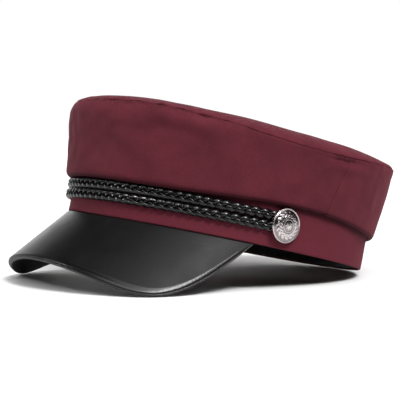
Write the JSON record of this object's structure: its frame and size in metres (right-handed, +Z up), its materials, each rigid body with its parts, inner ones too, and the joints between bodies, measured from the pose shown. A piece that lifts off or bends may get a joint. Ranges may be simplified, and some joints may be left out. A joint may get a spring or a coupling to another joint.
{
  "type": "cadet cap",
  "caption": "Flat-topped cadet cap: stiff cloth crown that rolls under to a cloth band, curved leather visor, plaited cords across the front and a shank button at each side.",
  "frame": {"origin": "centre of the cap's plan box, on the surface it stands on", "axes": "+Z up from that surface, the wearer faces -Y, +X is the wearer's left; the cap leans back 13 degrees, as it rests by itself"},
  "size_m": [0.1948, 0.2452, 0.1124],
  "materials": {
    "crown_cloth": "burgundy cotton twill, matt, faintly brushed",
    "sweatband_leather": "black synthetic leather lining strip, matt",
    "visor_leather": "black synthetic leather, satin, very fine grain",
    "braid_leather": "black glossy synthetic leather strips, plaited",
    "button_metal": null
  },
  "bodies": {
    "root": {"crown_top": "crown_cloth", "crown_side_front": "crown_cloth", "crown_side_back": "crown_cloth", "band": "crown_cloth", "sweatband": "sweatband_leather", "visor": "visor_leather", "braid_lower": "braid_leather", "braid_upper": "braid_leather", "button_left": "button_metal", "button_right": "button_metal"}
  },
  "joints": []
}
